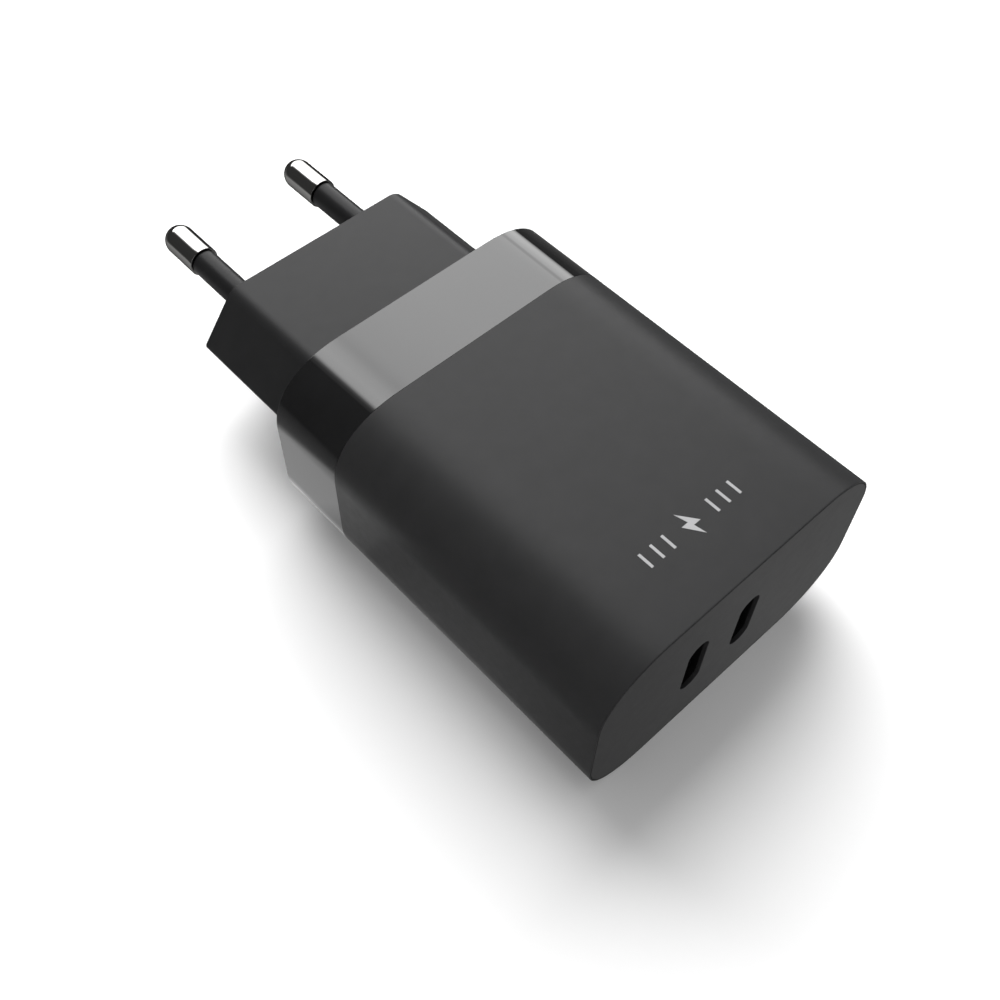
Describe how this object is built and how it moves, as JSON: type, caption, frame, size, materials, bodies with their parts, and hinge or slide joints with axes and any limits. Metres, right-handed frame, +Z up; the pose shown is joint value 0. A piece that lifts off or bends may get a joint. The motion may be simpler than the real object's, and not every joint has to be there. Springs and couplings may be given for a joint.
{
  "type": "usb wall charger",
  "caption": "Compact mains charger: matte rounded housing, gloss collar, flat Europlug block with round sleeved pins and upright USB-C slots in a flush front panel.",
  "frame": {"origin": "centre of the bounding box's bottom face, under the middle of the whole charger with its pins", "axes": "+X across the two pins, +Y from the USB-C front panel towards the plug pins, +Z up from the wide underside that the charger lies on"},
  "size_m": [0.0406, 0.0872, 0.0243],
  "materials": {
    "housing_matte": "fine matte dark-grey moulding",
    "collar_gloss": "polished piano black",
    "plug_matte": "fine matte dark-grey moulding",
    "sleeve_black": "satin black insulation",
    "nickel": "bright nickel plating",
    "brass": "bare rolled strip",
    "steel_shell": "drawn steel, satin",
    "tongue_black": "black glass-filled nylon",
    "board_green": "solder-masked laminate",
    "barrier_film": "translucent polyester film",
    "ferrite": "sintered, dull charcoal",
    "bobbin_nylon": "moulded black nylon",
    "winding_tape": "yellow polyester tape",
    "capacitor_film": "shrunk dark-blue sleeve over an aluminium can",
    "aluminium": "plain rolled aluminium",
    "copper": "enamelled copper wire",
    "fuse_brown": "moulded brown body",
    "disc_green": "dipped green coating",
    "disc_blue": "dipped blue coating",
    "film_yellow": "moulded yellow box",
    "chip_black": "black epoxy package",
    "silicone_grey": "soft grey silicone"
  },
  "bodies": {
    "root": {"bridge_rectifier": "chip_black", "bulk_capacitor_1": "capacitor_film", "bulk_capacitor_2": "capacitor_film", "choke_core": "ferrite", "choke_winding_left": "copper", "choke_winding_right": "copper", "collar_cover": "collar_gloss", "contact_left": "brass", "contact_right": "brass", "front_panel": "housing_matte", "heat_spreader": "aluminium", "housing_sleeve": "housing_matte", "input_fuse": "fuse_brown", "insulation_sheet": "barrier_film", "main_board": "board_green", "optocoupler": "chip_black", "output_capacitor_1": "aluminium", "output_capacitor_2": "aluminium", "pd_controller_left": "chip_black", "pd_controller_right": "chip_black", "pin_left": "nickel", "pin_right": "nickel", "pin_sleeve_left": "sleeve_black", "pin_sleeve_right": "sleeve_black", "plug_body": "plug_matte", "port_board": "board_green", "primary_switch": "chip_black", "sync_rectifier": "chip_black", "thermal_pad": "silicone_grey", "thermistor": "disc_green", "transformer_bobbin": "bobbin_nylon", "transformer_core_lower": "ferrite", "transformer_core_upper": "ferrite", "transformer_winding": "winding_tape", "usb_shell_left": "steel_shell", "usb_shell_right": "steel_shell", "usb_tongue_left": "tongue_black", "usb_tongue_right": "tongue_black", "x_capacitor": "film_yellow", "y_capacitor": "disc_blue"}
  },
  "joints": []
}
